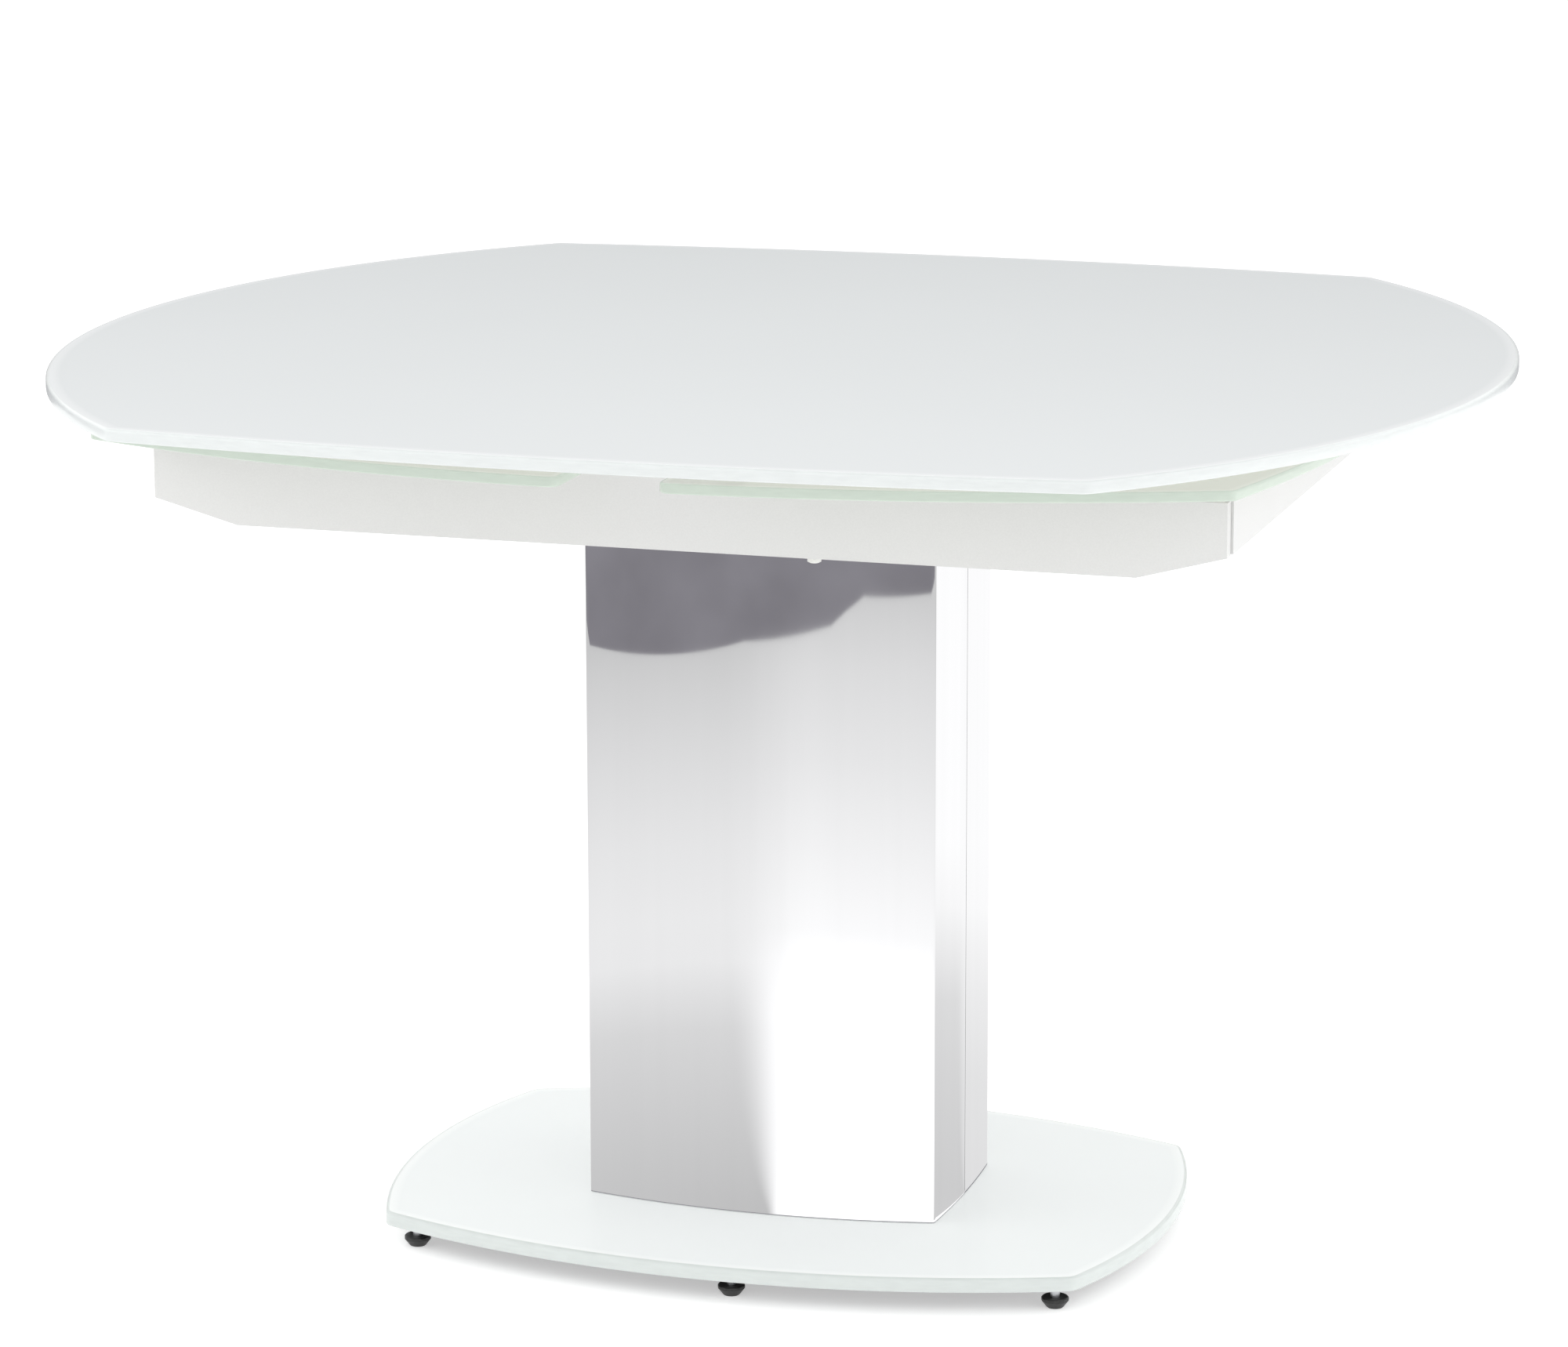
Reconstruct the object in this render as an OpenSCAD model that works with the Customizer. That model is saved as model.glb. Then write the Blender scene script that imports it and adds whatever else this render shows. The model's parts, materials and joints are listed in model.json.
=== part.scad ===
// Extendable dining table on one column, in millimetres.
// +X runs along the table, +Y to its back and +Z up. The origin is on the floor under the column's axis.
// The top glass is fixed on a bridge over the column. A leaf of glass draws out at each end under it.

/* [Overall] */
// Height of the top surface above the floor
table_h = 755; // [740:1:790]

/* [Top glass] */
// Half length at the corners
top_corner_x = 386; // [375:1:420]
// Half width at the corners
top_corner_y = 522; // [500:1:560]
// How far each long edge bows outwards
top_side_bow = 25; // [10:1:40]
// How far each end bows outwards
top_end_bow = 214; // [180:1:240]
// Thickness
top_t = 10; // [8:1:12]

/* [Leaves] */
// Half length of the closed pair at the corners
leaf_corner_x = 464; // [456:1:480]
// Half width of the closed pair at the corners
leaf_corner_y = 378; // [350:1:400]
// How far each long edge bows outwards
leaf_side_bow = 93; // [70:1:120]
// How far each end bows outwards
leaf_end_bow = 47; // [40:1:60]
// Half of the gap between the two leaves
leaf_gap = 40; // [36:1:45]
// Thickness
leaf_t = 8; // [6:1:10]
// Clear height between the leaves and the top glass
leaf_drop = 19; // [15:1:24]

/* [Apron] */
// Half length of the long boards
apron_x = 442; // [440:1:460]
// Distance from the centre line to the outer face of a long board
apron_y = 304; // [300:1:320]
// Height of the long boards
apron_h = 62; // [58:1:70]
// Clear height between the boards and the leaves
apron_gap = 16; // [15:1:20]
// Where the cut corners of a long board start
chamfer_x = 371; // [350:1:385]
// How high the cut corners rise at the ends
chamfer_h = 19; // [10:1:19]
// Sheet thickness
sheet_t = 2.5; // [2:0.5:3]

/* [Column] */
// Half width at the corners
column_x = 152; // [150:1:165]
// Half depth at the corners
column_y = 85.5; // [80:0.5:95]
// How far the front and the back bow outwards
column_front_bow = 18; // [10:1:25]
// How far the sides bow outwards
column_side_bow = 3; // [3:1:12]
// Thickness of the polished shells
shell_t = 1.5; // [1:0.5:2]

/* [Base] */
// Half length at the corners
base_corner_x = 299; // [294:1:320]
// Half width at the corners
base_corner_y = 188; // [184:1:205]
// How far each long edge bows outwards
base_side_bow = 60; // [50:1:70]
// How far each end bows outwards
base_end_bow = 37; // [25:1:50]
// Thickness of the glass
base_glass_t = 12; // [10:1:15]
// Thickness of the steel plate under the glass
base_plate_t = 5; // [4:1:6]
// How far the plate's edge stays inside the edge of the glass
base_plate_inset = 18; // [12:1:18]

/* [Feet] */
// Distance of the corner feet from the middle, along X
foot_x = 278; // [270:1:280]
// Distance of the corner feet from the middle, along Y
foot_y = 169; // [150:1:170]
// Sideways offset of the middle feet
foot_mid_x = 15; // [0:1:20]
// Distance of the middle feet from the middle, along Y
foot_mid_y = 215; // [195:1:220]
// Height of a foot's pad
pad_h = 9; // [7:1:10]
// Length of thread showing above a pad
foot_gap = 7; // [7:1:12]

/* [Travel] */
// How far each leaf draws out
leaf_travel = 350; // [200:10:350]

/* [Hidden] */
$fn = 48;
arc_fn = 360;           // large outlines
e = 1;                  // how far a cutting tool runs past a face
fit = 0.1;              // radial room round a screw
run_fit = 0.05;         // radial room round a foot's thread

// Heights, from the floor up
plate_z = pad_h + foot_gap;
base_glass_z = plate_z + base_plate_t;
gasket_z = base_glass_z + base_glass_t;
gasket_t = 1;
flange_t = 8;
bottom_flange_z = gasket_z + gasket_t;
tube_z = bottom_flange_z + flange_t;

// Heights, from the top down
top_z = table_h - top_t;
leaf_z = top_z - leaf_drop - leaf_t;
disc_t = 5;
bridge_top = top_z - disc_t;
apron_top = leaf_z - apron_gap;
apron_z = apron_top - apron_h;
frame_z = apron_z + 1;
top_flange_z = frame_z - flange_t;

// Column inside
flange_x = 145;
flange_y = 75;
tube_x = 80;
tube_y = 40;
tube_wall = 3;
column_bolt_x = 110;
column_bolt_y = 50;
m10_r = 5;
m10_head_r = 9.2;
m10_head_h = 6.4;
m10_nut_h = 8;
rib_t = 3;
rib_z = [150, 560];

// Frame under the leaves
board_y = 12;           // depth of a folded apron board
beam_y = 25;
beam_h = 40;
beam_wall = 2;
beam_x = apron_x - 21;
beam_in = apron_y - board_y - beam_y;     // inner face of a side beam
beam_z = apron_top - 2 - beam_h;
cross_in = 75;
cross_out = 115;
cross_h = 30;
cross_wall = 2.5;
tie_in = beam_x - 75;
tie_out = beam_x - 45;
tie_h = 5;
m8_r = 4;
m8_head_r = 7.2;
m8_head_h = 5.3;
m8_nut_h = 6.5;
frame_bolt_x = (cross_in + cross_out) / 2;
frame_bolt_y = 50;
plug_x = 112;
plug_r = 5.5;
plug_stem_r = 4;
plug_h = 4;

// Bridge that carries the top glass
bar_x = 25;
bar_y = 305;
bar_h = 34;
bar_wall = 3;
bar_z = bridge_top - bar_h;
post_y = 200;
post_foot_h = 5;
top_disc_r = 30;
top_screw_y = [-270, -100, 100, 270];

// Slides: three nested channels, given as distances inwards from a side beam
rail_t = 1.5;
rail_x = 38;
rail_len = leaf_travel + 30;
rail_step = 4;          // each member starts this much further out
rail_z = leaf_z - 45;
outer_h = 34;
mid_h = 27;
inner_h = 20;
outer_depth = 10;
mid_in = 3.3;
mid_depth = 7.7;
inner_in = 6;
inner_depth = 7.2;
rail_depth = inner_in + inner_depth;
liner_t = 1.7;

// Carriages
car_t = 4;
car_leg = 30;
car_y = beam_in - rail_depth;             // outer face of a carriage
car_top = leaf_z - disc_t;
car_x0 = rail_x + 2 * rail_step;
car_x1 = apron_x - 13;
bar_w = 30;             // width of a carriage's crossbars
inner_bar_x = 50;
leaf_disc_r = 22;
leaf_disc_y = car_y - leaf_disc_r;
m6_r = 3;
m6_head_r = 5.5;
m6_head_h = 3.3;
board_x = apron_x + 2;  // outer face of an end board
board_depth = 15;
board_half = apron_y - board_y - 1;        // half length of an end board
bracket_y = 150;
bracket_w = 40;
bracket_t = 3;

white_glass = [0.94, 0.95, 0.95];
green_glass = [0.80, 0.87, 0.79];
lacquer = [0.90, 0.90, 0.89];
polished = [0.78, 0.78, 0.80];
steel = [0.60, 0.61, 0.63];
black = [0.08, 0.08, 0.09];
nylon = [0.92, 0.92, 0.90];

// Radius of the arc over a half chord c with a rise b
function arc_r(c, b) = (c * c + b * b) / (2 * b);

// The six feet: four near the corners and two in the middle of the long edges
feet = [
    [-foot_x, -foot_y], [foot_mid_x, -foot_mid_y], [foot_x, -foot_y],
    [foot_x, foot_y], [-foot_mid_x, foot_mid_y], [-foot_x, foot_y]
];

// Barrel outline: four arcs that meet at (±x, ±y). side and end are how far the arcs bow, less is an inset.
module barrel(x, y, side, end, less = 0) {
    side_r = arc_r(x, side);
    end_r = arc_r(y, end);
    intersection() {
        translate([0, y + side - side_r]) circle(r = side_r - less, $fn = arc_fn);
        translate([0, side_r - y - side]) circle(r = side_r - less, $fn = arc_fn);
        translate([x + end - end_r, 0]) circle(r = end_r - less, $fn = arc_fn);
        translate([end_r - x - end, 0]) circle(r = end_r - less, $fn = arc_fn);
    }
}

// Box from its lowest to its highest corner
module box(lo, hi) {
    translate(lo) cube(hi - lo);
}

// Tube with its bore along "x", "y" or "z"
module tube(lo, hi, wall, along) {
    open = [along == "x" ? -e : wall, along == "y" ? -e : wall, along == "z" ? -e : wall];
    difference() {
        box(lo, hi);
        box(lo + open, hi - open);
    }
}

module at_corners(x, y) {
    for (sx = [-1, 1], sy = [-1, 1]) translate([sx * x, sy * y, 0]) children();
}

// Mirrors a right-hand piece to the left when side is -1
module on_side(side) {
    mirror([side < 0 ? 1 : 0, 0, 0]) children();
}

// A piece made at the front, and its twin at the back
module front_and_back() {
    children();
    mirror([0, 1, 0]) children();
}

// ---- Base ----

module base_outline(less = 0) {
    barrel(base_corner_x, base_corner_y, base_side_bow, base_end_bow, less);
}

module column_bolt_holes(r, z, h) {
    at_corners(column_bolt_x, column_bolt_y) translate([0, 0, z - e]) cylinder(r = r, h = h + 2 * e);
}

module base_glass() {
    color(white_glass) difference() {
        translate([0, 0, base_glass_z]) linear_extrude(base_glass_t) base_outline();
        column_bolt_holes(m10_r + 2, base_glass_z, base_glass_t);
    }
}

module base_plate() {
    color(steel) difference() {
        translate([0, 0, plate_z]) linear_extrude(base_plate_t) base_outline(base_plate_inset);
        column_bolt_holes(m10_r + fit, plate_z, base_plate_t);
        for (f = feet) translate([f.x, f.y, plate_z - e]) cylinder(r = m8_r + run_fit, h = base_plate_t + 2 * e);
    }
}

stud_z = 3;

module foot_pad(i) {
    color(black) translate([feet[i].x, feet[i].y, 0]) difference() {
        intersection() {
            rotate_extrude() polygon([
                [0, 0], [6.6, 0], [7.4, 0.8], [11.4, pad_h - 3], [11.4, pad_h - 1], [10.4, pad_h], [0, pad_h]
            ]);
            cylinder(r = 12, h = pad_h, $fn = 8);
        }
        translate([0, 0, stud_z]) cylinder(r = m8_r, h = pad_h);
    }
}

module foot_stud(i) {
    color(steel) translate([feet[i].x, feet[i].y, stud_z])
        cylinder(r = m8_r, h = base_glass_z - 1 - stud_z);
}

// ---- Column ----

module column_outline(less = 0) {
    barrel(column_x, column_y, column_front_bow, column_side_bow, less);
}

module column_gasket() {
    color(black) difference() {
        box([-flange_x, -flange_y, gasket_z], [flange_x, flange_y, gasket_z + gasket_t]);
        column_bolt_holes(m10_r + 1, gasket_z, gasket_t);
    }
}

module column_bottom_flange() {
    color(steel) difference() {
        box([-flange_x, -flange_y, bottom_flange_z], [flange_x, flange_y, tube_z]);
        column_bolt_holes(m10_r + fit, bottom_flange_z, flange_t);
    }
}

module column_tube() {
    color(steel) tube([-tube_x, -tube_y, tube_z], [tube_x, tube_y, top_flange_z], tube_wall, "z");
}

module column_top_flange() {
    color(steel) difference() {
        box([-flange_x, -flange_y, top_flange_z], [flange_x, flange_y, frame_z]);
        at_corners(frame_bolt_x, frame_bolt_y) translate([0, 0, top_flange_z - e])
            cylinder(r = m8_r + fit, h = flange_t + 2 * e);
    }
}

module column_bolts() {
    color(steel) at_corners(column_bolt_x, column_bolt_y) {
        translate([0, 0, plate_z - m10_head_h]) cylinder(r = m10_head_r, h = m10_head_h, $fn = 6);
        translate([0, 0, plate_z - 1]) cylinder(r = m10_r, h = tube_z + m10_nut_h + 3 - plate_z);
    }
}

module column_nuts() {
    color(steel) at_corners(column_bolt_x, column_bolt_y) translate([0, 0, tube_z]) difference() {
        cylinder(r = m10_head_r, h = m10_nut_h, $fn = 6);
        translate([0, 0, -e]) cylinder(r = m10_r + fit, h = m10_nut_h + 2 * e);
    }
}

module shell_ribs() {
    color(steel) for (z = rib_z) translate([0, 0, z]) linear_extrude(rib_t) difference() {
        column_outline(shell_t + fit);
        square(2 * [tube_x + fit, tube_y + fit], center = true);
    }
}

// One of the two U-shaped polished shells. They meet in the middle of the column's sides.
module shell() {
    seam = 0.4;
    color(polished) translate([0, 0, gasket_z]) linear_extrude(frame_z - 1 - gasket_z)
        intersection() {
            difference() {
                column_outline();
                column_outline(shell_t);
            }
            translate([-2 * column_x, -2 * column_y - seam]) square([4 * column_x, 2 * column_y]);
        }
}

module shell_front() shell();
module shell_back() mirror([0, 1, 0]) shell();

// ---- Frame and apron ----

module cross_tubes() {
    color(steel) for (side = [-1, 1]) on_side(side) difference() {
        tube([cross_in, -beam_in, frame_z], [cross_out, beam_in, frame_z + cross_h], cross_wall, "y");
        for (sy = [-1, 1]) translate([frame_bolt_x, sy * frame_bolt_y, frame_z - e])
            cylinder(r = m8_r + fit, h = cross_wall + 2 * e);
    }
}

module side_beams() {
    color(steel) front_and_back()
        tube([-beam_x, -beam_in - beam_y, beam_z], [beam_x, -beam_in, beam_z + beam_h], beam_wall, "x");
}

module tie_bars() {
    color(steel) for (side = [-1, 1]) on_side(side)
        box([tie_in, -beam_in - beam_y, beam_z - tie_h], [tie_out, beam_in + beam_y, beam_z]);
}

module frame_bolts() {
    color(steel) at_corners(frame_bolt_x, frame_bolt_y) {
        translate([0, 0, top_flange_z - m8_head_h]) cylinder(r = m8_head_r, h = m8_head_h, $fn = 6);
        translate([0, 0, top_flange_z - 1]) cylinder(r = m8_r, h = flange_t + cross_wall + m8_nut_h + 3);
    }
}

module frame_nuts() {
    color(steel) at_corners(frame_bolt_x, frame_bolt_y) translate([0, 0, frame_z + cross_wall]) difference() {
        cylinder(r = m8_head_r, h = m8_nut_h, $fn = 6);
        translate([0, 0, -e]) cylinder(r = m8_r + fit, h = m8_nut_h + 2 * e);
    }
}

// Face of a long board with its cut corners, drawn d inside its edges
module board_face(d = 0) {
    slope = chamfer_h / (apron_x - chamfer_x);
    slant = sqrt(1 + slope * slope);
    end_z = apron_z + slope * (apron_x - d - chamfer_x) + d * slant;
    low_x = chamfer_x - d * (slant - 1) / slope;
    polygon([
        [-apron_x + d, apron_top - d], [apron_x - d, apron_top - d], [apron_x - d, end_z],
        [low_x, apron_z + d], [-low_x, apron_z + d], [-apron_x + d, end_z]
    ]);
}

// Folded board: a face with an edge turned in all the way round
module apron_board() {
    color(lacquer) difference() {
        translate([0, board_y - apron_y, 0]) rotate([90, 0, 0]) linear_extrude(board_y) board_face();
        translate([0, board_y + e - apron_y, 0]) rotate([90, 0, 0])
            linear_extrude(board_y + e - sheet_t) board_face(sheet_t);
        translate([plug_x, plug_r + 0.5 - apron_y, apron_z - e])
            cylinder(r = plug_stem_r + fit, h = sheet_t + 2 * e);
    }
}

module apron_front() apron_board();
module apron_back() rotate([0, 0, 180]) apron_board();

// A plastic plug in the drain hole under each folded board
module apron_plugs() {
    color(nylon) for (turn = [0, 180]) rotate([0, 0, turn])
        translate([plug_x, plug_r + 0.5 - apron_y, apron_z]) rotate_extrude() polygon([
            [0, -plug_h], [plug_r - 2, -plug_h], [plug_r, 1 - plug_h], [plug_r, 0],
            [plug_stem_r, 0], [plug_stem_r, sheet_t + 1], [0, sheet_t + 1]
        ]);
}

// Blocks on the apron that the leaves pass over
module guide_pads() {
    pad = [10, 10];
    color(nylon) at_corners(apron_x - 8, apron_y - board_y / 2)
        translate([-pad.x / 2, -pad.y / 2, apron_top]) cube([pad.x, pad.y, apron_gap - 0.4]);
}

// ---- Bridge and top ----

module bridge_posts() {
    foot_z = frame_z + cross_h;
    color(steel) front_and_back() {
        box([-cross_out, -post_y - bar_x, foot_z], [cross_out, bar_x - post_y, foot_z + post_foot_h]);
        tube([-bar_x, -post_y - bar_x, foot_z + post_foot_h], [bar_x, bar_x - post_y, bar_z], bar_wall, "z");
    }
}

module bridge_bar() {
    color(steel) difference() {
        tube([-bar_x, -bar_y, bar_z], [bar_x, bar_y, bridge_top], bar_wall, "y");
        for (y = top_screw_y) translate([0, y, bar_z - e]) cylinder(r = m8_r + fit, h = bar_h + 2 * e);
    }
}

module leaf_stops() {
    stop_y = 150;
    stop_r = 7;
    color(black) for (side = [-1, 1], sy = [-1, 1]) on_side(side)
        translate([bar_x, sy * stop_y, leaf_z + leaf_t / 2]) rotate([0, 90, 0])
            cylinder(r = stop_r, h = leaf_gap - bar_x - 0.4);
}

module top_discs() {
    color(steel) for (y = top_screw_y) translate([0, y, bridge_top]) difference() {
        cylinder(r = top_disc_r, h = disc_t);
        translate([0, 0, -e]) cylinder(r = m8_r + fit, h = disc_t - 2 + e);
    }
}

module top_screws() {
    color(steel) for (y = top_screw_y) translate([0, y, bar_z]) {
        translate([0, 0, -m8_head_h]) cylinder(r = m8_head_r, h = m8_head_h);
        translate([0, 0, -1]) cylinder(r = m8_r, h = bar_h + disc_t - 2);
    }
}

module top_glass() {
    color(white_glass) translate([0, 0, top_z]) linear_extrude(top_t)
        barrel(top_corner_x, top_corner_y, top_side_bow, top_end_bow);
}

// ---- Slides ----

// Channel of a slide on the front side beam: in is where its web or its open side starts, counted from the beam
module channel(x, in, depth, h, web_at_beam) {
    y0 = in - beam_in;
    z0 = rail_z + (outer_h - h) / 2;
    web_y = web_at_beam ? rail_t : -rail_t;
    difference() {
        box([x, y0, z0], [x + rail_len, y0 + depth, z0 + h]);
        box([x - e, y0 + (web_at_beam ? rail_t : -e), z0 + rail_t],
            [x + rail_len + e, y0 + depth + (web_at_beam ? e : -rail_t), z0 + h - rail_t]);
    }
}

module rails_outer() {
    color(steel) for (side = [-1, 1]) on_side(side) front_and_back()
        channel(rail_x, 0, outer_depth, outer_h, true);
}

module rail_mid(side) {
    color(steel) on_side(side) front_and_back()
        channel(rail_x + rail_step, mid_in, mid_depth, mid_h, true);
}

module rail_inner(side) {
    color(steel) on_side(side) front_and_back()
        channel(rail_x + 2 * rail_step, inner_in, inner_depth, inner_h, false);
}

// A pair of plastic strips above and below the rail's middle, h apart outside
module liner_pair(x, len, in, wide, h, inside) {
    y0 = in - beam_in;
    low = rail_z + outer_h / 2 - h / 2 - (inside ? 0 : liner_t);
    high = rail_z + outer_h / 2 + h / 2 - (inside ? liner_t : 0);
    for (z = [low, high]) box([x, y0, z], [x + len, y0 + wide, z + liner_t]);
}

// The strips are fixed to the middle member: one pair runs in the outer channel and one round the inner channel
module liners(side) {
    color(nylon) on_side(side) front_and_back() {
        liner_pair(rail_x + 12, rail_len / 2, 4.5, 4.5, mid_h, false);
        liner_pair(rail_x + rail_step + rail_len / 2 + 3, rail_len / 2 - 5, 6.5, 3.5, mid_h - 2 * rail_t, true);
    }
}

// ---- Leaves ----

inner_bar_mid = inner_bar_x + bar_w / 2;
outer_bar_mid = car_x1 - bar_w / 2;

// Where the leaf's discs sit on a carriage
leaf_disc_at = [
    for (x = [inner_bar_mid, outer_bar_mid], y = [-leaf_disc_y, 0, leaf_disc_y]) [x, y]
];

// Two angles along X, joined by two crossbars
module carriage(side) {
    leg_z = rail_z + (outer_h - inner_h) / 2;
    inside = car_y - car_leg;
    color(steel) on_side(side) difference() {
        union() {
            front_and_back() {
                box([car_x0, -car_y, leg_z], [car_x1, car_t - car_y, car_top]);
                box([car_x0, -car_y, car_top - car_t], [car_x1, -inside, car_top]);
            }
            for (x = [inner_bar_x, car_x1 - bar_w])
                box([x, -inside - e, car_top - car_t], [x + bar_w, inside + e, car_top]);
        }
        for (p = leaf_disc_at) translate([p.x, p.y, car_top - car_t - e])
            cylinder(r = m6_r + fit, h = car_t + 2 * e);
    }
}

module leaf_discs(side) {
    color(steel) on_side(side) for (p = leaf_disc_at) translate([p.x, p.y, car_top]) difference() {
        cylinder(r = leaf_disc_r, h = disc_t);
        translate([0, 0, -e]) cylinder(r = m6_r + fit, h = disc_t - 1.5 + e);
    }
}

module leaf_screws(side) {
    color(steel) on_side(side) for (p = leaf_disc_at) translate([p.x, p.y, car_top - car_t]) {
        translate([0, 0, -m6_head_h]) cylinder(r = m6_head_r, h = m6_head_h);
        translate([0, 0, -1]) cylinder(r = m6_r, h = car_t + disc_t - 1);
    }
}

// Angles that hang an end board from its carriage
module end_brackets(side) {
    web = board_x - sheet_t;
    under = car_top - car_t;
    color(steel) on_side(side) for (sy = [-1, 1]) translate([0, sy * bracket_y - bracket_w / 2, 0]) {
        box([car_x1 - bar_w + 2, 0, under - bracket_t], [web, bracket_w, under]);
        box([web - bracket_t, 0, apron_top - 37], [web, bracket_w, under - bracket_t + 0.01]);
    }
}

// Folded end board: open on top and towards the column
module end_board(side) {
    low = apron_z + chamfer_h + 1;
    color(lacquer) on_side(side) difference() {
        box([board_x - board_depth, -board_half, low], [board_x, board_half, apron_top]);
        box([board_x - board_depth - e, sheet_t - board_half, low + sheet_t],
            [board_x - sheet_t, board_half - sheet_t, apron_top + e]);
    }
}

module leaf_glass(side) {
    reach = leaf_corner_x + leaf_end_bow;
    wide = leaf_corner_y + leaf_side_bow;
    color(green_glass) on_side(side) translate([0, 0, leaf_z]) linear_extrude(leaf_t) intersection() {
        barrel(leaf_corner_x, leaf_corner_y, leaf_side_bow, leaf_end_bow);
        translate([leaf_gap, -wide - e]) square([reach, 2 * wide + 2 * e]);
    }
}

base_glass();
base_plate();
foot_pad(0);  // foot_pad_1
foot_pad(1);  // foot_pad_2
foot_pad(2);  // foot_pad_3
foot_pad(3);  // foot_pad_4
foot_pad(4);  // foot_pad_5
foot_pad(5);  // foot_pad_6
foot_stud(0);  // foot_stud_1
foot_stud(1);  // foot_stud_2
foot_stud(2);  // foot_stud_3
foot_stud(3);  // foot_stud_4
foot_stud(4);  // foot_stud_5
foot_stud(5);  // foot_stud_6
column_gasket();
column_bottom_flange();
column_tube();
column_top_flange();
column_bolts();
column_nuts();
shell_ribs();
shell_front();
shell_back();
cross_tubes();
side_beams();
tie_bars();
frame_bolts();
frame_nuts();
apron_front();
apron_back();
apron_plugs();
guide_pads();
bridge_posts();
bridge_bar();
leaf_stops();
top_discs();
top_screws();
top_glass();
rails_outer();
rail_mid(-1);  // rail_mid_left
rail_mid(1);  // rail_mid_right
liners(-1);  // liners_left
liners(1);  // liners_right
rail_inner(-1);  // rail_inner_left
rail_inner(1);  // rail_inner_right
carriage(-1);  // carriage_left
carriage(1);  // carriage_right
leaf_discs(-1);  // leaf_discs_left
leaf_discs(1);  // leaf_discs_right
leaf_screws(-1);  // leaf_screws_left
leaf_screws(1);  // leaf_screws_right
end_brackets(-1);  // end_brackets_left
end_brackets(1);  // end_brackets_right
end_board(-1);  // end_board_left
end_board(1);  // end_board_right
leaf_glass(-1);  // leaf_glass_left
leaf_glass(1);  // leaf_glass_right
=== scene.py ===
"""Looks of the extendable dining table: glass, polished column, materials, studio and camera. In metres."""

import json
import math

import bmesh
import bpy
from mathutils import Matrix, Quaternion, Vector


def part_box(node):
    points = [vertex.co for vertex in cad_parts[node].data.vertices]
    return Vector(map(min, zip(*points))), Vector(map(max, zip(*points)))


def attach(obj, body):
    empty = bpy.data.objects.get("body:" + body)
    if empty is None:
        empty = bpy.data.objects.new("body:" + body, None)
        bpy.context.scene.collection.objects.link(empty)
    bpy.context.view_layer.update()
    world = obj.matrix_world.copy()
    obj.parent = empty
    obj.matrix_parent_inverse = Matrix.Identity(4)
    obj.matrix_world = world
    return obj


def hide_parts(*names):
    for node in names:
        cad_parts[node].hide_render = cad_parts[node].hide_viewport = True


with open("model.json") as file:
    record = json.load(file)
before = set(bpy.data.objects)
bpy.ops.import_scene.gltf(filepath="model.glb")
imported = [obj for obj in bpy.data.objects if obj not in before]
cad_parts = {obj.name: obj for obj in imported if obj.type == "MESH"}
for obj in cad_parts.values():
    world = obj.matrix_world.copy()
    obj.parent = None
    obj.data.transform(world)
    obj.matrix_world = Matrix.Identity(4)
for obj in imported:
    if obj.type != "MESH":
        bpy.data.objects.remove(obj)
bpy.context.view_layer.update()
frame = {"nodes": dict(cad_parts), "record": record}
nodes = frame["nodes"]
scene = bpy.context.scene

MM = 0.001


# ---- Camera ----

SENSOR = 36.0
FRAME_WIDTH = 2000
FOCAL_IN_FRAME = 7143                   # focal length, in the unit of FRAME_WIDTH
CAMERA_PLACE = (1.352, -4.399, 1.500)
CAMERA_YAW = 0.2992                     # to the left of +Y, in radians
CAMERA_PITCH = 0.2188                   # below the horizon
CAMERA_ROLL = -0.0021


def make_camera():
    data = bpy.data.cameras.new("camera")
    data.sensor_width = SENSOR
    data.lens = FOCAL_IN_FRAME / FRAME_WIDTH * SENSOR
    camera = bpy.data.objects.new("camera", data)
    scene.collection.objects.link(camera)
    camera.location = CAMERA_PLACE
    level = math.cos(CAMERA_PITCH)
    ahead = Vector((-math.sin(CAMERA_YAW) * level, math.cos(CAMERA_YAW) * level, -math.sin(CAMERA_PITCH)))
    camera.rotation_mode = "QUATERNION"
    camera.rotation_quaternion = ahead.to_track_quat("-Z", "Y") @ Quaternion((0, 0, 1), CAMERA_ROLL)
    scene.camera = camera


make_camera()


# ---- Material building blocks ----

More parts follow.
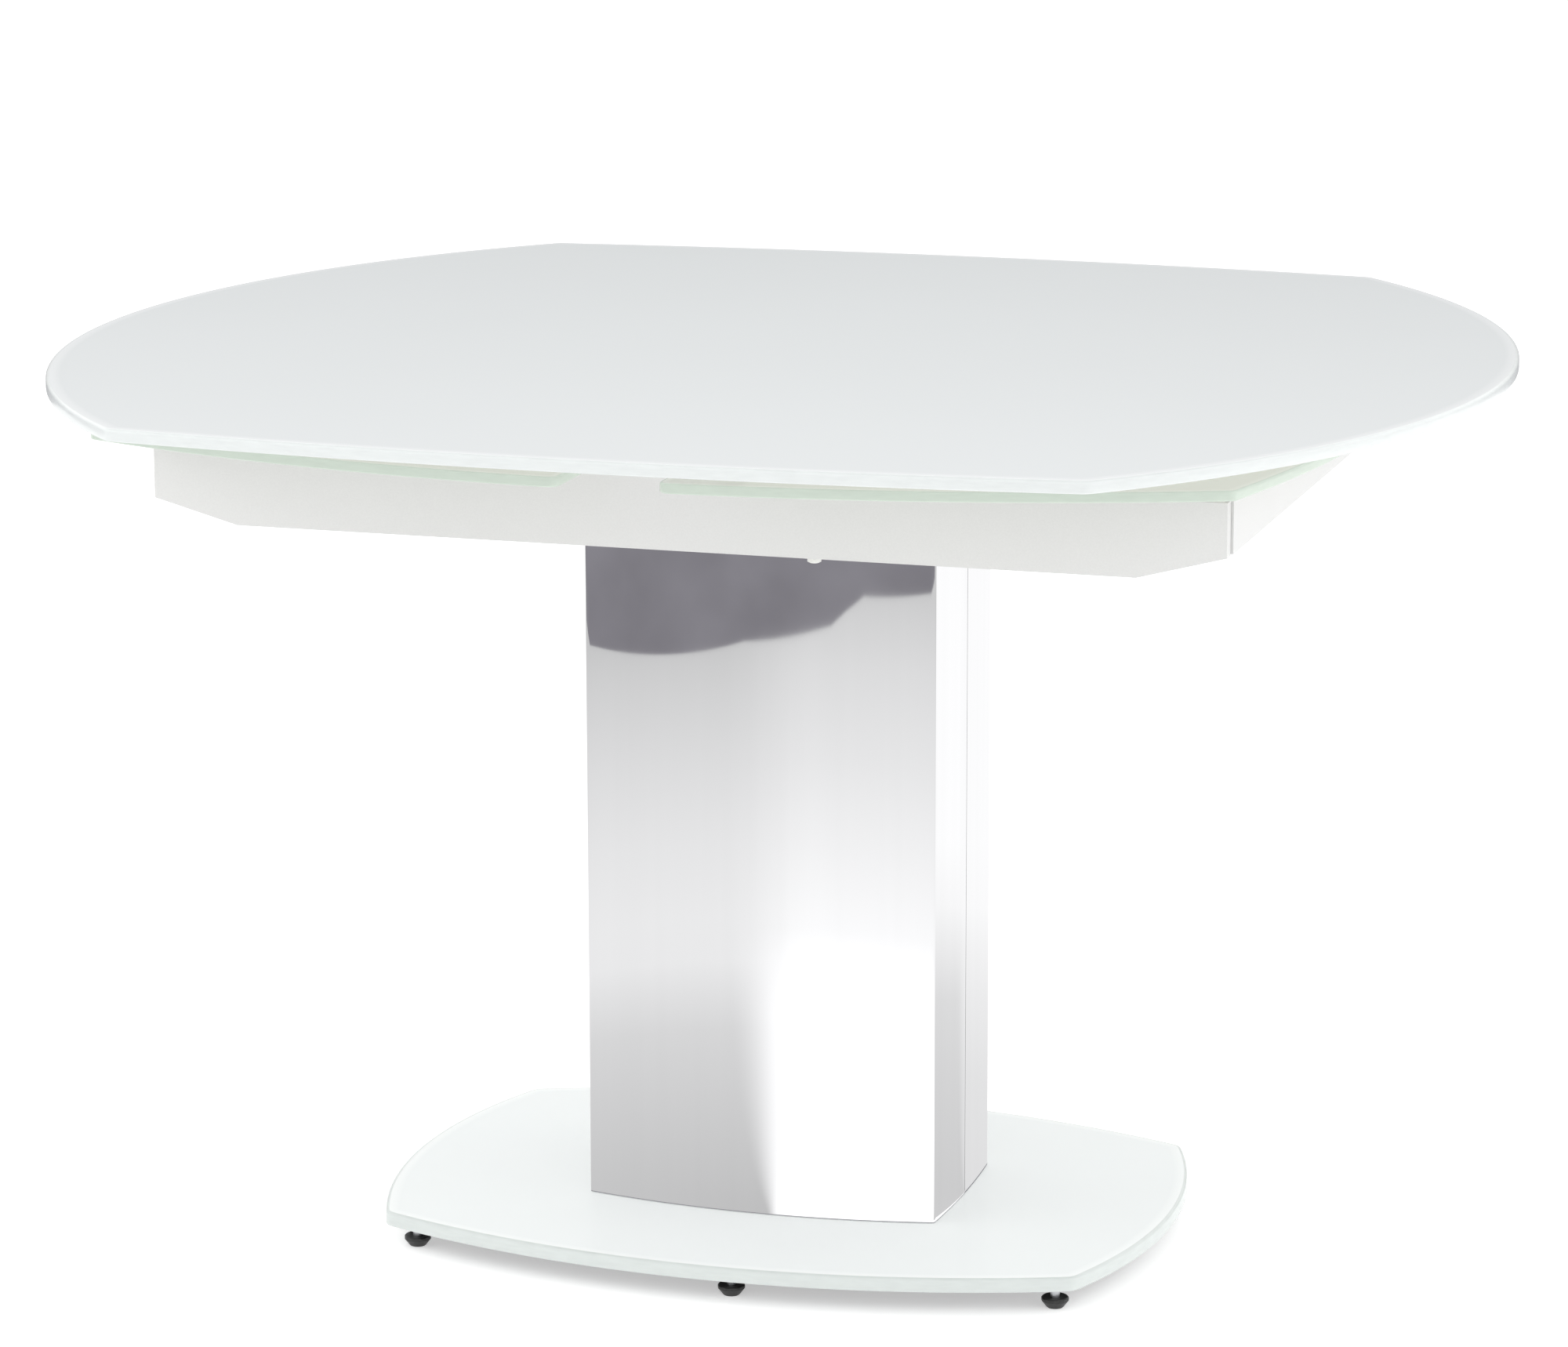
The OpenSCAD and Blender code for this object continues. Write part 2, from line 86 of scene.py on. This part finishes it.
class Surface:
    """A node material: its nodes, its links and its Principled shader."""

    def __init__(self, name, **settings):
        self.material = bpy.data.materials.new(name)
        self.material.use_nodes = True
        self.nodes = self.material.node_tree.nodes
        self.links = self.material.node_tree.links
        self.shader = self.nodes["Principled BSDF"]
        for socket, value in settings.items():
            self.shader.inputs[socket.replace("_", " ")].default_value = value

    def join(self, output, socket):
        self.links.new(output, socket)

    def node(self, kind, **inputs):
        made = self.nodes.new("ShaderNode" + kind)
        for socket, value in inputs.items():
            made.inputs[socket.replace("_", " ")].default_value = value
        return made

    def noise(self, scale, detail=3.0, stretch=(1, 1, 1)):
        """Noise over the object's own space, stretched along its axes."""
        coords = self.node("TexCoord")
        mapping = self.node("Mapping", Scale=stretch)
        texture = self.node("TexNoise", Scale=scale, Detail=detail)
        self.join(coords.outputs["Object"], mapping.inputs["Vector"])
        self.join(mapping.outputs["Vector"], texture.inputs["Vector"])
        return texture.outputs["Fac"]

    def spread(self, fac, low, high):
        """A value from low to high as fac runs over the middle of its range."""
        ramp = self.node("MapRange", From_Min=0.3, From_Max=0.7, To_Min=low, To_Max=high)
        self.join(fac, ramp.inputs["Value"])
        return ramp.outputs["Result"]

    def mix(self, fac, first, second):
        """A colour from first to second. Each is a colour or another node's output."""
        node = self.nodes.new("ShaderNodeMix")
        node.data_type = "RGBA"
        sockets = [s for s in node.inputs if s.type == "RGBA"]
        for socket, value in zip(sockets, (first, second)):
            if isinstance(value, tuple):
                socket.default_value = (*value, 1)
            else:
                self.join(value, socket)
        self.join(fac, node.inputs["Factor"])
        return next(s for s in node.outputs if s.type == "RGBA")

    def colour(self, output):
        self.join(output, self.shader.inputs["Base Color"])

    def rough(self, output):
        self.join(output, self.shader.inputs["Roughness"])

    def bump(self, height, distance, strength):
        node = self.node("Bump", Strength=strength, Distance=distance)
        self.join(height, node.inputs["Height"])
        self.join(node.outputs["Normal"], self.shader.inputs["Normal"])


# ---- Materials ----

RIM_ATTRIBUTE = "rim"                   # on the glass plates: which zone a point is in
FACE, MID_RIM, RIM, EDGE = 0.0, 0.7, 1.0, 2.0
CLEAR_IOR = 1.5                         # of glass and of lacquer
FACE_ROUGH = 0.025
EDGE_ROUGH = 0.16
CLOUD_DEPTH = 0.985                     # how dark the lacquer's clouds and the edge's grain get
GRAIN_DEPTH = 0.95
ROUGH_RANGE = 0.12                      # how much the roughness of plain metal and plastic varies


def darker(colour, factor):
    return tuple(c * factor for c in colour)


def glass_plate(name, face, rim, edge):
    """Toughened glass lacquered underneath: a clouded face, a lighter rim and a ground, duller edge."""
    s = Surface(name, IOR=CLEAR_IOR)
    place = s.node("Attribute")
    place.attribute_name = RIM_ATTRIBUTE
    to_rim = s.node("MapRange", From_Min=FACE, From_Max=RIM)
    to_edge = s.node("MapRange", From_Min=RIM, From_Max=EDGE)
    dull = s.node("MapRange", From_Min=RIM, From_Max=EDGE, To_Min=FACE_ROUGH, To_Max=EDGE_ROUGH)
    for step in (to_rim, to_edge, dull):
        s.join(place.outputs["Fac"], step.inputs["Value"])
    cloud = s.spread(s.noise(2.5), 0, 1)
    lacquer = s.mix(cloud, face, darker(face, CLOUD_DEPTH))
    grain = s.spread(s.noise(60.0, 4.0, (1, 1, 6)), 0, 1)
    ground = s.mix(grain, edge, darker(edge, GRAIN_DEPTH))
    s.colour(s.mix(to_edge.outputs["Result"], s.mix(to_rim.outputs["Result"], lacquer, rim), ground))
    s.rough(dull.outputs["Result"])
    return s.material


def white_lacquer():
    s = Surface("white_lacquer", IOR=CLEAR_IOR)
    peel = s.noise(700.0, 2.0)
    s.colour(s.mix(s.spread(peel, 0, 1), (0.725, 0.723, 0.718), (0.75, 0.748, 0.743)))
    s.rough(s.spread(s.noise(5.0), 0.28, 0.36))
    s.bump(peel, 0.0003, 0.10)
    return s.material


def polished_steel():
    s = Surface("polished_steel", Metallic=1.0)
    # faint vertical bands of lighter and darker steel: painted reflection lines of the sheet's slight
    # waviness
    waviness_reflection_streak = s.noise(60.0, 2.0, (1, 1, 0.02))
    s.colour(s.mix(s.spread(waviness_reflection_streak, 0, 1), (0.915, 0.915, 0.92), (0.93, 0.93, 0.935)))
    s.rough(s.spread(s.noise(9.0), 0.015, 0.035))
    return s.material


def powder_coat(name, dark, light):
    s = Surface(name)
    peel = s.noise(700.0, 2.0)
    s.colour(s.mix(s.spread(peel, 0, 1), dark, light))
    s.rough(s.spread(peel, 0.40, 0.55))
    s.bump(peel, 0.0004, 0.2)
    return s.material


def metal(name, dark, light, rough, scale):
    s = Surface(name, Metallic=1.0)
    fac = s.noise(scale, 4.0)
    s.colour(s.mix(s.spread(fac, 0, 1), dark, light))
    s.rough(s.spread(fac, rough, rough + ROUGH_RANGE))
    return s.material


def plastic(name, dark, light, rough):
    s = Surface(name)
    fac = s.noise(500.0)
    s.colour(s.mix(s.spread(fac, 0, 1), dark, light))
    s.rough(s.spread(fac, rough, rough + ROUGH_RANGE))
    s.bump(fac, 0.0003, 0.15)
    return s.material


MATERIALS = {
    "white_glass": glass_plate("white_glass", (0.745, 0.775, 0.785), (0.83, 0.85, 0.86), (0.77, 0.80, 0.795)),
    # the base's copy of the white glass, with painted light and shade: its face painted lighter to make up
    # for the top's shade over it, and its edge painted darker for the dimmer light near the floor, partly
    # also the greener tone of its ground edge
    "base_glass": glass_plate("base_glass", (0.79, 0.82, 0.82), (0.84, 0.865, 0.86), (0.66, 0.70, 0.685)),
    "leaf_glass": glass_plate("leaf_glass", (0.735, 0.755, 0.685), (0.79, 0.82, 0.75), (0.61, 0.69, 0.61)),
    "white_lacquer": white_lacquer(),
    "polished_steel": polished_steel(),
    "grey_steel": powder_coat("grey_steel", (0.24, 0.25, 0.27), (0.29, 0.30, 0.32)),
    "black_steel": powder_coat("black_steel", (0.012, 0.012, 0.014), (0.022, 0.022, 0.025)),
    "zinc_steel": metal("zinc_steel", (0.50, 0.52, 0.54), (0.62, 0.63, 0.65), 0.25, 60.0),
    "disc_aluminium": metal("disc_aluminium", (0.62, 0.63, 0.64), (0.74, 0.75, 0.76), 0.22, 80.0),
    "black_plastic": plastic("black_plastic", (0.012, 0.012, 0.012), (0.026, 0.027, 0.026), 0.38),
    "black_rubber": plastic("black_rubber", (0.008, 0.008, 0.008), (0.018, 0.018, 0.018), 0.65),
    "white_nylon": plastic("white_nylon", (0.74, 0.74, 0.71), (0.80, 0.80, 0.77), 0.42),
}

slots = {part["node"]: part["material_slot"] for part in frame["record"]["subparts"]}
for name, slot in slots.items():
    nodes[name].data.materials.clear()
    nodes[name].data.materials.append(MATERIALS[slot])


# ---- Outlines made of arcs ----

def barrel_arcs(corner_x, corner_y, reach_x, reach_y, fillet):
    """Four bowed sides and four rounded corners, counter-clockwise from the right end.

    Each arc is (centre, radius, from, to), its angles in radians.
    """
    side_bow, end_bow = reach_y - corner_y, reach_x - corner_x
    side_r = (corner_x**2 + side_bow**2) / (2 * side_bow)
    end_r = (corner_y**2 + end_bow**2) / (2 * end_bow)
    side_c, end_c = Vector((0, reach_y - side_r)), Vector((reach_x - end_r, 0))
    apart = (side_c - end_c).length
    along = ((side_r - fillet) ** 2 - (end_r - fillet) ** 2 + apart**2) / (2 * apart)
    aside = math.sqrt((side_r - fillet) ** 2 - along**2)
    toward = (end_c - side_c) / apart
    corner = side_c + toward * along + Vector((toward.y, -toward.x)) * aside
    to_side = math.atan2(corner.y - side_c.y, corner.x - side_c.x)
    to_end = math.atan2(corner.y - end_c.y, corner.x - end_c.x)
    pi = math.pi
    return [
        (end_c, end_r, -to_end, to_end),
        (corner, fillet, to_end, to_side),
        (side_c, side_r, to_side, pi - to_side),
        (Vector((-corner.x, corner.y)), fillet, pi - to_side, pi - to_end),
        (-end_c, end_r, pi - to_end, pi + to_end),
        (-corner, fillet, pi + to_end, pi + to_side),
        (-side_c, side_r, pi + to_side, 2 * pi - to_side),
        (Vector((corner.x, -corner.y)), fillet, 2 * pi - to_side, 2 * pi - to_end),
    ]


def leaf_arcs(corner_x, corner_y, reach_x, reach_y, inner_x, fillet):
    """The right half of a barrel beyond the straight inner edge at inner_x."""
    barrel = barrel_arcs(corner_x, corner_y, reach_x, reach_y, fillet)
    end, back_corner, side, front_corner = barrel[0], barrel[1], barrel[2], barrel[7]
    centre, radius, start, _ = side
    x = inner_x + fillet
    y = centre.y + math.sqrt((radius - fillet) ** 2 - x**2)
    stop = math.atan2(y - centre.y, x)
    pi = math.pi
    return [
        end,
        back_corner,
        (centre, radius, start, stop),
        (Vector((x, y)), fillet, stop, pi),
        (Vector((x, -y)), fillet, pi, 2 * pi - stop),
        (-centre, radius, 2 * pi - stop, 2 * pi - start),
        front_corner,
    ]


ARC_STEP = 0.006
FEWEST_POINTS = 5                       # on one arc


def outline(arcs, inset=0.0, step=ARC_STEP):
    """Points along the arcs, about step apart, set inwards by inset."""
    points = []
    for centre, radius, start, stop in arcs:
        count = max(FEWEST_POINTS, math.ceil(radius * (stop - start) / step))
        for i in range(count):
            angle = start + (stop - start) * i / (count - 1)
            points.append(centre + (radius - inset) * Vector((math.cos(angle), math.sin(angle))))
    return points


# ---- Meshes ----

ROUND_STEPS = 6                         # facets across a rounded glass edge
BOTTOM_ROUND = 1.2 * MM
LIP = 0.8 * MM                          # from the rounding to the rim
MID_RIM_INSET = 0.6                     # where the rim has faded to MID_RIM, as a part of its width
SHELL_WALL = 1.5 * MM
SHELL_SOFT = 0.4 * MM                   # chamfer along the top and bottom of a shell
SHELL_STEP = 0.003
SHARP_ANGLE = math.radians(40)


def add_mesh(name, bm, material):
    bmesh.ops.remove_doubles(bm, verts=bm.verts, dist=1e-6)
    bmesh.ops.recalc_face_normals(bm, faces=bm.faces)
    mesh = bpy.data.meshes.new(name)
    for face in bm.faces:
        face.smooth = True
    bm.to_mesh(mesh)
    bm.free()
    mesh.materials.append(material)
    obj = bpy.data.objects.new(name, mesh)
    scene.collection.objects.link(obj)
    return obj


def plate(name, arcs, low, high, material, rim=12 * MM, top_round=2.5 * MM, mirror=1):
    """A glass plate with rounded, polished edges, its zones marked by RIM_ATTRIBUTE."""
    turns = [i / ROUND_STEPS * math.pi / 2 for i in range(ROUND_STEPS + 1)]
    rings = [(rim, low, RIM)]
    rings += [(BOTTOM_ROUND * (1 - math.sin(t)), low + BOTTOM_ROUND * (1 - math.cos(t)), EDGE) for t in turns]
    rings += [(top_round * (1 - math.cos(t)), high - top_round * (1 - math.sin(t)), EDGE) for t in turns]
    rings += [(top_round + LIP, high, RIM), (rim * MID_RIM_INSET, high, MID_RIM), (rim, high, FACE)]
    bm = bmesh.new()
    layer = bm.verts.layers.float.new(RIM_ATTRIBUTE)
    made = []
    for inset, z, zone in rings:
        ring = [bm.verts.new((p.x * mirror, p.y, z)) for p in outline(arcs, inset)]
        for v in ring:
            v[layer] = zone
        made.append(ring)
    for lower, upper in zip(made, made[1:]):
        for i in range(len(lower)):
            j = (i + 1) % len(lower)
            bm.faces.new((lower[i], lower[j], upper[j], upper[i]))
    bm.faces.new(made[0])
    bm.faces.new(made[-1])
    return add_mesh(name, bm, material)


def shell(name, arcs, low, high, seam, side, material):
    """One of the two U-shaped shells: the half of the outline with side * y above seam."""
    outer, inner = outline(arcs, 0, SHELL_STEP), outline(arcs, SHELL_WALL, SHELL_STEP)
    kept = [i for i, p in enumerate(outer) if side * p.y > seam]
    first = next(i for i in kept if (i - 1) % len(outer) not in kept)
    order = [(first + k) % len(outer) for k in range(len(kept))]
    pairs = [(outer[i], inner[i]) for i in order]
    at_seam = [[Vector((p.x, side * seam)) for p in pair] for pair in (pairs[0], pairs[-1])]
    bm = bmesh.new()
    rows = []
    for out, in_ in [at_seam[0], *pairs, at_seam[1]]:
        inward = (in_ - out).normalized() * SHELL_SOFT
        section = (
            (*in_, low),
            (*(out + inward), low),
            (*out, low + SHELL_SOFT),
            (*out, high - SHELL_SOFT),
            (*(out + inward), high),
            (*in_, high),
        )
        rows.append([bm.verts.new(point) for point in section])
    for a, b in zip(rows, rows[1:]):
        for k in range(len(a)):
            m = (k + 1) % len(a)
            bm.faces.new((a[k], a[m], b[m], b[k]))
    bm.faces.new(rows[0])
    bm.faces.new(rows[-1])
    obj = add_mesh(name, bm, material)
    obj.data.set_sharp_from_angle(angle=SHARP_ANGLE)
    return obj


def stand_in(obj, node, body):
    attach(obj, body)
    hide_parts(node)


# ---- Glass ----

# Where the bowed sides of each outline would meet, in x and y
TOP_CORNER = (0.386, 0.522)
BASE_CORNER = (0.299, 0.188)
LEAF_CORNER = (0.464, 0.378)
COLUMN_CORNER = (0.152, 0.0855)
LEAF_REACH_Y = 0.471
PLATE_FILLET = 15 * MM
LEAF_FILLET = 9 * MM
LEAF_RIM = 8 * MM
LEAF_ROUND = 1.5 * MM
COLUMN_FILLET = 2.2 * MM
PLATES = (
    ("top_glass", TOP_CORNER, "white_glass"),
    # the base takes the copy of the white glass with a painted lighter face and a painted darker edge
    ("base_glass", BASE_CORNER, "base_glass"),
)
for node, corner, material in PLATES:
    lo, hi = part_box(node)
    arcs = barrel_arcs(*corner, hi.x, hi.y, PLATE_FILLET)
    stand_in(plate(node + "_look", arcs, lo.z, hi.z, MATERIALS[material]), node, "frame")

lo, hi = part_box("leaf_glass_right")
arcs = leaf_arcs(*LEAF_CORNER, hi.x, LEAF_REACH_Y, lo.x, LEAF_FILLET)
for side, mirror in (("right", 1), ("left", -1)):
    node = "leaf_glass_" + side
    obj = plate(node + "_look", arcs, lo.z, hi.z, MATERIALS["leaf_glass"], LEAF_RIM, LEAF_ROUND, mirror)
    stand_in(obj, node, "leaf_" + side)


# ---- Column shells ----

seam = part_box("shell_back")[0].y
lo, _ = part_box("shell_front")
_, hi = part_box("shell_back")
arcs = barrel_arcs(*COLUMN_CORNER, hi.x, hi.y, COLUMN_FILLET)
for node, side in (("shell_front", -1), ("shell_back", 1)):
    obj = shell(node + "_look", arcs, lo.z, hi.z, seam, side, MATERIALS["polished_steel"])
    stand_in(obj, node, "frame")


# ---- Edges of the CAD pieces ----

BOARD_BEVEL = 0.9 * MM
SMALL_BEVEL = 0.5 * MM
FEET = 6


def soften(node, width, segments=3):
    bevel = nodes[node].modifiers.new("edges", "BEVEL")
    bevel.width = width
    bevel.segments = segments
    bevel.limit_method = "ANGLE"
    bevel.angle_limit = SHARP_ANGLE
    for polygon in nodes[node].data.polygons:
        polygon.use_smooth = True
    nodes[node].data.set_sharp_from_angle(angle=SHARP_ANGLE)


for node in ("apron_front", "apron_back", "end_board_left", "end_board_right"):
    soften(node, BOARD_BEVEL)
for node in ("apron_plugs", "guide_pads", "side_beams", "tie_bars", "bridge_posts", "bridge_bar"):
    soften(node, SMALL_BEVEL, 2)
for foot in range(1, FEET + 1):
    soften(f"foot_pad_{foot}", SMALL_BEVEL, 2)


# ---- Studio ----

WHITE = (1, 1, 1, 1)
COOL = 1.005                            # blue of the mirrored sheets, in units of their grey


def rectangle(left, front, right, back):
    return [(left, front), (right, front), (right, back), (left, back)]


def stage_sheet(name, corners, z, material, seen_by_mirrors_only=True, centre=(0, 0)):
    """A flat sheet of the studio, its corners given from centre. It may show only in reflections."""
    mesh = bpy.data.meshes.new(name)
    points = [(x, y, 0) for x, y in corners]
    mesh.from_pydata(points, [], [tuple(range(len(points)))])
    mesh.materials.append(material)
    obj = bpy.data.objects.new(name, mesh)
    obj.location = (*centre, z)
    scene.collection.objects.link(obj)
    if seen_by_mirrors_only:
        obj.visible_camera = obj.visible_diffuse = obj.visible_shadow = False
        obj.visible_transmission = obj.visible_volume_scatter = False
    return obj


def floor_paper():
    s = Surface("floor_paper", Roughness=0.9)
    s.shader.inputs["Specular IOR Level"].default_value = 0.1
    s.colour(s.mix(s.spread(s.noise(1.5), 0, 1), (0.74, 0.74, 0.74), (0.76, 0.76, 0.76)))
    s.shader.inputs["Emission Color"].default_value = WHITE
    s.shader.inputs["Emission Strength"].default_value = 0.45
    return s.material


def glow(name, make_colour):
    """A light-giving material for one side of a sheet, whose colour is made by make_colour(surface)."""
    s = Surface(name)
    s.nodes.remove(s.shader)
    light = s.node("Emission", Strength=1.0)
    s.join(make_colour(s), light.inputs["Color"])
    sides = s.node("MixShader")
    s.join(s.node("NewGeometry").outputs["Backfacing"], sides.inputs["Fac"])
    s.join(light.outputs["Emission"], sides.inputs[1])
    s.join(s.node("BsdfTransparent").outputs["BSDF"], sides.inputs[2])
    s.join(sides.outputs["Shader"], s.nodes["Material Output"].inputs["Surface"])
    return s.material


def set_stops(color_ramp, stops, blue=1.0):
    """Give a colour ramp its stops of (position, grey)."""
    while len(color_ramp.elements) < len(stops):
        color_ramp.elements.new(1.0)
    for element, (position, grey) in zip(color_ramp.elements, stops):
        element.position = position
        element.color = (grey, grey, grey * blue, 1)


def ramp(s, fac, stops):
    node = s.node("ValToRGB")
    set_stops(node.color_ramp, stops, COOL)
    s.join(fac, node.inputs["Fac"])
    return node.outputs["Color"]


def sum_of(s, *terms):
    """The sum of (factor, output) terms and plain numbers, as an output."""
    total = None
    for term in terms:
        if isinstance(term, tuple):
            node = s.node("Math")
            node.operation = "MULTIPLY"
            node.inputs[0].default_value = term[0]
            s.join(term[1], node.inputs[1])
            term = node.outputs["Value"]
        if total is None:
            total = term
            continue
        node = s.node("Math")
        s.join(total, node.inputs[0])
        if isinstance(term, (int, float)):
            node.inputs[1].default_value = term
        else:
            s.join(term, node.inputs[1])
        total = node.outputs["Value"]
    return total


REACH = 4.0                             # the distance at which the floor ramps end


def floor_place(s):
    """Distance from the sheet's own centre as a part of REACH, and x and y from there."""
    coords = s.node("TexCoord")
    length = s.node("VectorMath")
    length.operation = "LENGTH"
    s.join(coords.outputs["Object"], length.inputs[0])
    split = s.node("SeparateXYZ")
    s.join(coords.outputs["Object"], split.inputs["Vector"])
    return sum_of(s, (1 / REACH, length.outputs["Value"])), split.outputs["X"], split.outputs["Y"]


def ratio(s, top, bottom, low, high):
    """A smooth step from 0 to 1 as top / bottom goes from low to high."""
    node = s.node("Math")
    node.operation = "DIVIDE"
    s.join(top, node.inputs[0])
    s.join(bottom, node.inputs[1])
    step = s.node("MapRange", From_Min=low, From_Max=high)
    step.interpolation_type = "SMOOTHSTEP"
    s.join(node.outputs["Value"], step.inputs["Value"])
    return step.outputs["Result"]


def split_floor(s, start, slant, blur, soft, left, right):
    """Two ramps over the distance, one at the left and one at the right of a slanting line.

    The line passes the centre at start to its right, and goes slant metres to the right for each metre back.
    The ramps blend on both sides of it, over the part soft of the distance plus blur.
    """
    distance, x, y = floor_place(s)
    aside = sum_of(s, (1, x), (-slant, y), -start)
    width = sum_of(s, (REACH, distance), blur)
    first, second = ramp(s, distance, left), ramp(s, distance, right)
    return s.mix(ratio(s, aside, width, -soft, soft), first, second)


def lit_floor(s):
    """Floor in front of the column as the steel mirrors it: shaded at its left, brightly lit at its right."""
    shaded = [
        (0.00, 0.56), (0.03, 0.60), (0.08, 0.66), (0.14, 0.73), (0.20, 0.885), (0.24, 0.89), (0.315, 0.85),
        (0.41, 0.77), (0.53, 0.66), (0.60, 0.58),
    ]
    bright = [
        (0.15, 1.30), (0.23, 1.05), (0.315, 0.955), (0.41, 0.86), (0.53, 0.77), (0.60, 0.70), (0.66, 0.64),
    ]
    return split_floor(s, start=0.018, slant=0.28, blur=0.03, soft=0.16, left=shaded, right=bright)


def back_floor(s):
    """Floor behind the column as its right side mirrors it: darker near the column and towards the right."""
    pale = [(0.0, 0.78), (0.085, 0.81), (0.15, 0.88), (0.20, 0.95), (0.235, 1.01), (0.30, 1.03)]
    shaded = [(0.0, 0.64), (0.085, 0.70), (0.15, 0.76), (0.185, 0.86), (0.235, 0.99), (0.30, 1.05)]
    return split_floor(s, start=0.0, slant=0.306, blur=0.05, soft=0.03, left=pale, right=shaded)


def dark_floor(s):
    cloud = s.noise(1.2)
    return s.mix(s.spread(cloud, 0, 1), (0.205, 0.198, 0.220), (0.265, 0.258, 0.285))


FLOOR_REACH = 40
FAR_REACH = 38
LIT_CORNERS = rectangle(-REACH, -REACH, REACH, 0.1)
LIT_CENTRE = (0, -0.1)
BACK_CORNERS = [(0, -0.088), (REACH, -0.088), (REACH, 5), (-REACH, 5), (-REACH, 0), (0, 0)]
BACK_CENTRE = (0.155, 0)
# Beyond the lit floor the studio is dark, and its edge wanders
DARK_FRONT_CORNERS = [
    (-4.3, -0.2), (-4.3, -4.3), (4.3, -4.3), (4.3, -2.4), (0.62, -2.63), (0.10, -2.66), (-0.04, -2.56),
    (-0.14, -2.47), (-0.74, -2.25), (-1.22, -1.94), (-1.70, -1.63),
]
DARK_BACK_CORNERS = [(4.3, 4.4), (4.3, 5.2), (-4.3, 5.2), (-4.3, 2.6), (-1.2, 2.9), (0.3, 3.05), (0.9, 3.9)]
SHEET_STEP = 0.5 * MM

whole_floor = rectangle(-FLOOR_REACH, -FLOOR_REACH, FLOOR_REACH, FLOOR_REACH)
stage_sheet("floor", whole_floor, 0, floor_paper(), seen_by_mirrors_only=False)
# What the polished column mirrors: glowing sheets one over the other, just over the base glass, whose colours
# paint the floor's light and shade, with the table's shadow, into the steel's reflections
MIRRORED_SHEETS = (
    ("far_floor", rectangle(-FAR_REACH, -FAR_REACH, FAR_REACH, FAR_REACH), (0, 0), 1, dark_floor),
    ("lit_floor", LIT_CORNERS, LIT_CENTRE, 2, lit_floor),
    ("back_floor", BACK_CORNERS, BACK_CENTRE, 3, back_floor),
    ("dark_floor", DARK_FRONT_CORNERS, (0, 0), 4, dark_floor),
    ("dark_back", DARK_BACK_CORNERS, (0, 0), 4, dark_floor),
)
glass_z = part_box("base_glass")[1].z
for name, corners, centre, level, make_colour in MIRRORED_SHEETS:
    stage_sheet(name, corners, glass_z + level * SHEET_STEP, glow(name, make_colour), centre=centre)


def gap_glow(s):
    return s.mix(s.spread(s.noise(2.0), 0, 1), (0.97, 0.97, 0.955), (1.02, 1.02, 1.005))


# Light between the top and the leaves, sent down from just under the top. It doesn't show itself
GAP_INSET = 12 * MM
GAP_STEP = 0.05
lo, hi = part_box("top_glass")
inside = outline(barrel_arcs(*TOP_CORNER, hi.x, hi.y, PLATE_FILLET), GAP_INSET, GAP_STEP)
gap = stage_sheet("gap_light", reversed(inside), lo.z - SHEET_STEP, glow("gap_light", gap_glow))
gap.visible_diffuse = True
gap.visible_glossy = False


# (height, grey): 0 is the horizon and below, 1 is overhead
SKY = ((0.0, 0.50), (0.14, 0.55), (0.185, 0.82), (0.26, 1.30), (0.5, 1.50), (0.72, 0.98), (1.0, 0.78))


def make_world():
    """Soft light from all round, with the greys of SKY. The camera sees plain white instead."""
    world = bpy.data.worlds.new("studio")
    scene.world = world
    world.use_nodes = True
    tree = world.node_tree
    coords = tree.nodes.new("ShaderNodeTexCoord")
    split = tree.nodes.new("ShaderNodeSeparateXYZ")
    up = tree.nodes.new("ShaderNodeValToRGB")
    set_stops(up.color_ramp, SKY)
    light = tree.nodes["Background"]
    plain = tree.nodes.new("ShaderNodeBackground")
    plain.inputs["Color"].default_value = WHITE
    path = tree.nodes.new("ShaderNodeLightPath")
    either = tree.nodes.new("ShaderNodeMixShader")
    tree.links.new(coords.outputs["Generated"], split.inputs["Vector"])
    tree.links.new(split.outputs["Z"], up.inputs["Fac"])
    tree.links.new(up.outputs["Color"], light.inputs["Color"])
    tree.links.new(path.outputs["Is Camera Ray"], either.inputs["Fac"])
    tree.links.new(light.outputs["Background"], either.inputs[1])
    tree.links.new(plain.outputs["Background"], either.inputs[2])
    tree.links.new(either.outputs["Shader"], tree.nodes["World Output"].inputs["Surface"])


def softbox(name, size, place, target, power):
    """A square soft light that doesn't show in reflections."""
    data = bpy.data.lights.new(name, "AREA")
    data.size = size
    data.energy = power
    obj = bpy.data.objects.new(name, data)
    scene.collection.objects.link(obj)
    obj.location = place
    obj.rotation_euler = (Vector(target) - Vector(place)).to_track_quat("-Z", "Y").to_euler()
    obj.visible_glossy = False


make_world()
softbox("left_light", size=1.6, place=(-2.4, -1.2, 2.4), target=(0, 0, 0.7), power=12)
softbox("right_light", size=1.0, place=(2.6, 0.4, 0.6), target=(0.4, 0, 0.6), power=9)
scene.view_settings.view_transform = "Standard"
